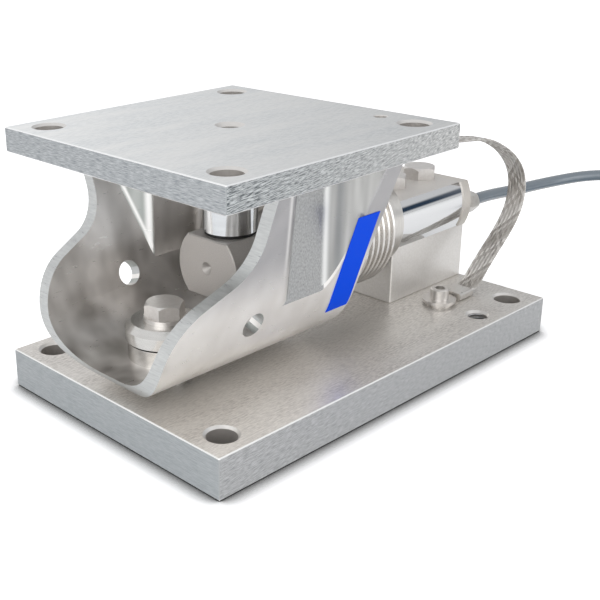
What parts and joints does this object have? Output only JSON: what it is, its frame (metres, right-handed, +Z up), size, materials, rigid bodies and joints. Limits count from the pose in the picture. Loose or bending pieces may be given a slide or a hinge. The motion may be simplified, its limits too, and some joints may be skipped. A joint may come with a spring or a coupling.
{
  "type": "weighing module",
  "caption": "Stainless weighing module: a bellows-sealed shear-beam load cell clamped to a base plate, with rocker pin, load plate, folded lift-off yoke, ground strap and signal cable.",
  "frame": {"origin": "centre of the base plate's underside", "axes": "+X along the base plate's long side towards the signal cable, +Z up"},
  "size_m": [0.5341, 0.238, 0.133],
  "materials": {
    "plate_steel": "satin ground stainless steel",
    "yoke_steel": "satin stainless sheet, bright edges",
    "label_blue": "bare blue film",
    "cell_steel": "turned and polished stainless steel, matt flats",
    "cap_matt": "matt stainless steel",
    "gauge_foil": "polyimide foil",
    "bellows_steel": "bright formed stainless sheet",
    "collar_steel": "turned stainless steel",
    "block_steel": "satin milled stainless steel",
    "bolt_steel": "plain stainless steel",
    "polished_steel": "mirror polished hardened stainless steel",
    "seal_rubber": "black rubber",
    "tinned_lug": "tinned copper",
    "tinned_braid": "tinned copper braid",
    "gland_nickel": "nickel plated",
    "cable_jacket": "grey sheath",
    "tinned_wire": "tinned wire"
  },
  "bodies": {
    "root": {"base_plate": "plate_steel", "bearing_cup": "polished_steel", "bellows": "bellows_steel", "bellows_front_collar": "collar_steel", "bellows_rear_collar": "collar_steel", "cable_coil": "cable_jacket", "cable_end": "cable_jacket", "cable_leads": "tinned_wire", "cell_end_cap": "cap_matt", "clamp_bolts": "bolt_steel", "gland_body": "gland_nickel", "gland_nut": "gland_nickel", "ground_strap": "tinned_braid", "hold_down_bolt": "bolt_steel", "hold_down_boss": "polished_steel", "hold_down_collar": "polished_steel", "hold_down_spacer": "polished_steel", "hold_down_washer": "bolt_steel", "label": "label_blue", "load_cell_body": "cell_steel", "lower_bearing_insert": "polished_steel", "pin_seal": "seal_rubber", "rocker_pin": "polished_steel", "signal_cable": "cable_jacket", "spacer_block": "block_steel", "strain_gauges": "gauge_foil", "strap_lug_lower": "tinned_lug", "strap_lug_upper": "tinned_lug", "strap_screw_lower": "bolt_steel", "strap_screw_upper": "bolt_steel", "strap_washer_lower": "bolt_steel", "strap_washer_upper": "bolt_steel", "top_plate": "plate_steel", "upper_bearing_insert": "polished_steel", "yoke": "yoke_steel"}
  },
  "joints": []
}
